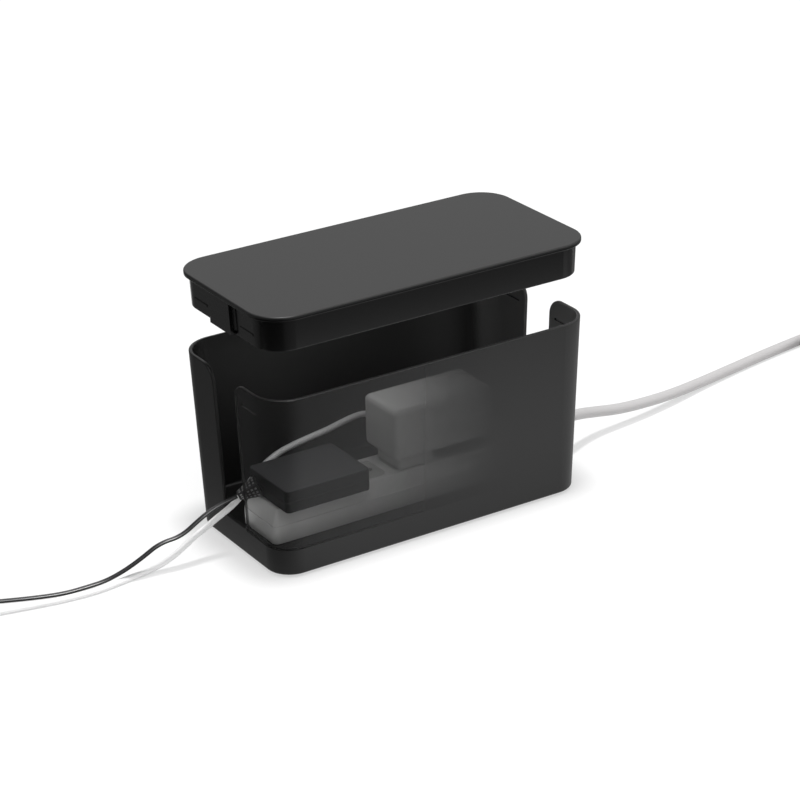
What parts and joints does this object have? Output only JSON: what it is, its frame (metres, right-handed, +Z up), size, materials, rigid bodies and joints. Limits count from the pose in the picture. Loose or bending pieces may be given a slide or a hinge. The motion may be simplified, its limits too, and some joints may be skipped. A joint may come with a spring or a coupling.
{
  "type": "cable management box",
  "caption": "Plastic box that hides a power strip with its plugs and spare cord: lift-off lid, cord slots in both ends, rubber feet.",
  "frame": {"origin": "middle of the box's footprint, on the plane its feet stand on", "axes": "+X along the box towards the mains lead, +Y from the front wall to the back wall, +Z up"},
  "size_m": [0.8072, 0.1378, 0.1737],
  "materials": {
    "box_plastic": "fine even mould texture, satin",
    "lid_plastic": "fine even mould texture on top, satin skirt",
    "foot_rubber": "matt",
    "strip_plastic": "satin",
    "socket_plastic": "satin",
    "contact_brass": "rolled",
    "screw_steel": "zinc plated",
    "core_insulation": "gloss",
    "lead_rubber": "satin",
    "plug_plastic": "satin",
    "plated_blade": "nickel plated",
    "adapter_plastic": "satin",
    "adapter_rubber": "satin",
    "circuit_board": "lacquered",
    "transformer_core": "varnished",
    "charger_plastic": "soft gloss",
    "charger_rubber": "satin"
  },
  "bodies": {
    "root": {"box_shell": "box_plastic", "rubber_feet": "foot_rubber", "strip_base": "strip_plastic", "strip_cover": "strip_plastic", "socket_inserts": "socket_plastic", "line_bar": "contact_brass", "neutral_bar": "contact_brass", "earth_bar": "contact_brass", "core_wires": "core_insulation", "strip_screws": "screw_steel", "mains_relief": "lead_rubber", "mains_cord": "lead_rubber", "mains_coil": "lead_rubber", "plug_body": "plug_plastic", "plug_pins": "plated_blade", "adapter_cord": "adapter_rubber", "adapter_coil": "adapter_rubber", "adapter_connector": "adapter_plastic", "adapter_barrel": "plated_blade", "charger_cord": "charger_rubber", "charger_coil": "charger_rubber", "charger_connector": "charger_plastic", "charger_tongue": "plated_blade"},
    "lid": {"lid": "lid_plastic"},
    "adapter": {"adapter_base": "adapter_plastic", "adapter_cover": "adapter_plastic", "adapter_blades": "plated_blade", "adapter_board": "circuit_board", "adapter_transformer": "transformer_core", "adapter_relief": "adapter_rubber"},
    "charger": {"charger_case": "charger_plastic", "charger_end_cap": "charger_plastic", "charger_plug_base": "charger_plastic", "charger_blades": "plated_blade", "charger_board": "circuit_board", "charger_transformer": "transformer_core", "charger_relief": "charger_rubber"}
  },
  "joints": [
    {"name": "lid_lift", "type": "slide", "parent": "root", "child": "lid", "axis": [0, 0, 1], "range_m": [-0.05, 0.04]},
    {"name": "adapter_unplug", "type": "slide", "parent": "root", "child": "adapter", "axis": [0, 0, 1], "range_m": [0, 0.018]},
    {"name": "charger_unplug", "type": "slide", "parent": "root", "child": "charger", "axis": [0, 0, 1], "range_m": [0, 0.018]}
  ]
}
